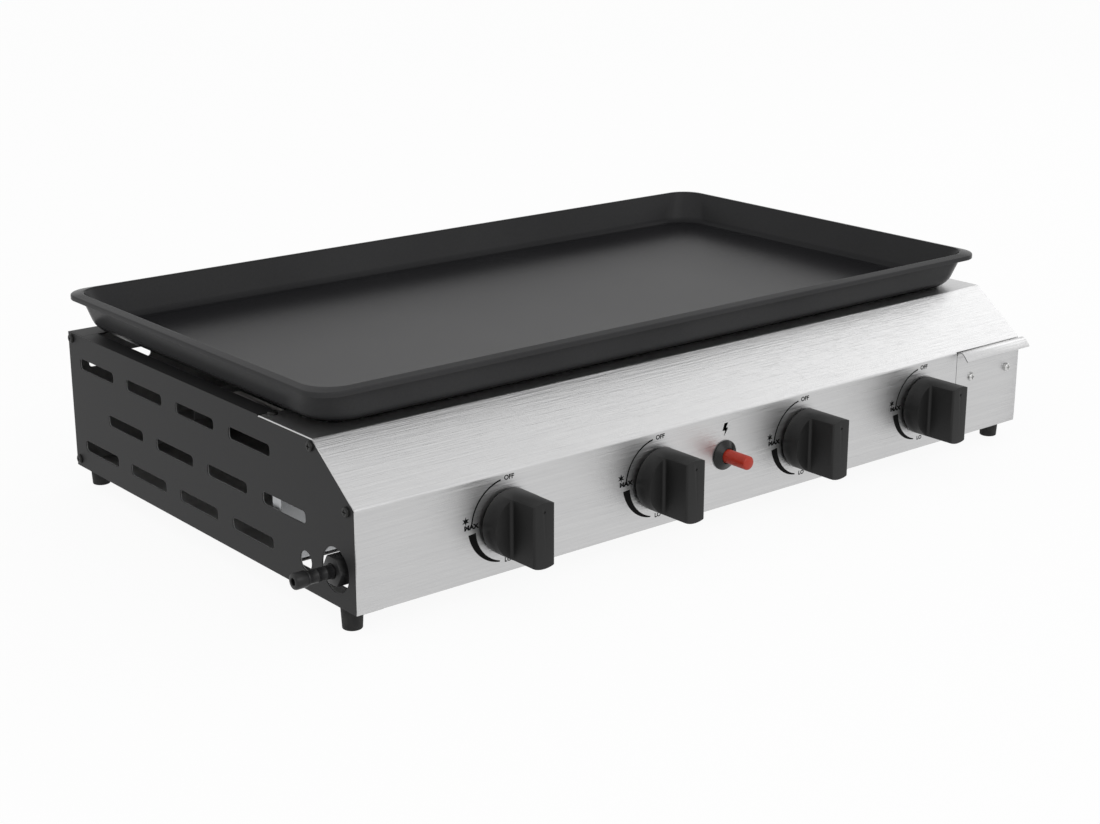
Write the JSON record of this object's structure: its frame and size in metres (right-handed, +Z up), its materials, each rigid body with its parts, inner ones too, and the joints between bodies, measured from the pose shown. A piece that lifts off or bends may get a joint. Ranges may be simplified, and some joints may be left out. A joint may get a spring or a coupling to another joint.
{
  "type": "gas griddle",
  "caption": "Table-top gas griddle: black pan-shaped cooking plate on a slotted cabinet with a sloped steel front, turn knobs, push igniter, hose barb and pull-out grease tray.",
  "frame": {"origin": "on the floor under the middle of the whole griddle", "axes": "+X to the right along the front, +Y to the rear, +Z up"},
  "size_m": [0.7994, 0.5092, 0.1766],
  "materials": {
    "brushed_stainless": "brushed along the width",
    "charcoal_paint": "satin charcoal paint",
    "black_nonstick": "dark satin non-stick coat",
    "knob_plastic": "fine moulded matt",
    "red_button": "smooth red",
    "black_bezel": "moulded black",
    "foot_rubber": "matt black",
    "black_screw": "blackened",
    "bright_screw": "plated",
    "galvanised_sheet": "dull zinc",
    "grey_primer": "dull grey coat",
    "burner_steel": "heat-dulled steel",
    "valve_brass": "turned brass",
    "gas_rail_steel": "dark plated tube",
    "black_fitting": "blackened fitting",
    "lead_sleeve": "silicone sleeve",
    "electrode_ceramic": "glazed white ceramic"
  },
  "bodies": {
    "cabinet": {"bottom_pan": "grey_primer", "burner_1": "burner_steel", "burner_2": "burner_steel", "burner_3": "burner_steel", "burner_4": "burner_steel", "burner_rail": "grey_primer", "clamp_screws": "bright_screw", "electrode_clip": "galvanised_sheet", "electrode_insulator": "electrode_ceramic", "electrode_rod": "burner_steel", "foot_front_left": "foot_rubber", "foot_front_right": "foot_rubber", "foot_rear_left": "foot_rubber", "foot_rear_right": "foot_rubber", "foot_screws": "bright_screw", "front_panel": "brushed_stainless", "gas_rail": "gas_rail_steel", "gland_rings": "valve_brass", "heat_shield": "galvanised_sheet", "hose_barb": "black_fitting", "igniter_core": "black_bezel", "igniter_housing": "black_bezel", "igniter_nut": "galvanised_sheet", "ignition_lead": "lead_sleeve", "jets": "valve_brass", "left_side_panel": "charcoal_paint", "left_side_screws": "black_screw", "rail_screws": "black_screw", "rear_panel": "charcoal_paint", "right_side_panel": "charcoal_paint", "right_side_screws": "black_screw", "roof_screws": "black_screw", "shield_screws": "bright_screw", "tray_cradle": "galvanised_sheet", "valve_1": "valve_brass", "valve_2": "valve_brass", "valve_3": "valve_brass", "valve_4": "valve_brass", "valve_clamps": "galvanised_sheet", "valve_screws": "bright_screw"},
    "plate": {"griddle_plate": "black_nonstick", "drain_spout": "black_nonstick", "plate_studs": "black_nonstick"},
    "tray": {"grease_tray": "galvanised_sheet", "tray_front": "brushed_stainless", "tray_screws": "bright_screw"},
    "button": {"igniter_button": "red_button"},
    "press_1": {"push_collar_1": "valve_brass"},
    "control_1": {"knob_1": "knob_plastic", "spindle_1": "burner_steel"},
    "press_2": {"push_collar_2": "valve_brass"},
    "control_2": {"knob_2": "knob_plastic", "spindle_2": "burner_steel"},
    "press_3": {"push_collar_3": "valve_brass"},
    "control_3": {"knob_3": "knob_plastic", "spindle_3": "burner_steel"},
    "press_4": {"push_collar_4": "valve_brass"},
    "control_4": {"knob_4": "knob_plastic", "spindle_4": "burner_steel"}
  },
  "joints": [
    {"name": "plate_lift_off", "type": "slide", "parent": "cabinet", "child": "plate", "axis": [0, 0, 1], "range_m": [0, 0.06]},
    {"name": "tray_slide", "type": "slide", "parent": "cabinet", "child": "tray", "axis": [0, -1, 0], "range_m": [0, 0.1]},
    {"name": "igniter_push", "type": "slide", "parent": "cabinet", "child": "button", "axis": [0, 1, 0], "range_m": [0, 0.006], "stiffness_N_per_m": 900},
    {"name": "knob_1_push", "type": "slide", "parent": "cabinet", "child": "press_1", "axis": [0, 1, 0], "range_m": [0, 0.0025], "stiffness_N_per_m": 1500},
    {"name": "knob_1_turn", "type": "hinge", "parent": "press_1", "child": "control_1", "pos_m": [-0.2232, -0.2294, 0.0611], "axis": [0, -1, 0], "range_deg": [0, 180]},
    {"name": "knob_2_push", "type": "slide", "parent": "cabinet", "child": "press_2", "axis": [0, 1, 0], "range_m": [0, 0.0025], "stiffness_N_per_m": 1500},
    {"name": "knob_2_turn", "type": "hinge", "parent": "press_2", "child": "control_2", "pos_m": [-0.0672, -0.2294, 0.0611], "axis": [0, -1, 0], "range_deg": [0, 180]},
    {"name": "knob_3_push", "type": "slide", "parent": "cabinet", "child": "press_3", "axis": [0, 1, 0], "range_m": [0, 0.0025], "stiffness_N_per_m": 1500},
    {"name": "knob_3_turn", "type": "hinge", "parent": "press_3", "child": "control_3", "pos_m": [0.1018, -0.2294, 0.0611], "axis": [0, -1, 0], "range_deg": [0, 180]},
    {"name": "knob_4_push", "type": "slide", "parent": "cabinet", "child": "press_4", "axis": [0, 1, 0], "range_m": [0, 0.0025], "stiffness_N_per_m": 1500},
    {"name": "knob_4_turn", "type": "hinge", "parent": "press_4", "child": "control_4", "pos_m": [0.2578, -0.2294, 0.0611], "axis": [0, -1, 0], "range_deg": [0, 180]}
  ]
}
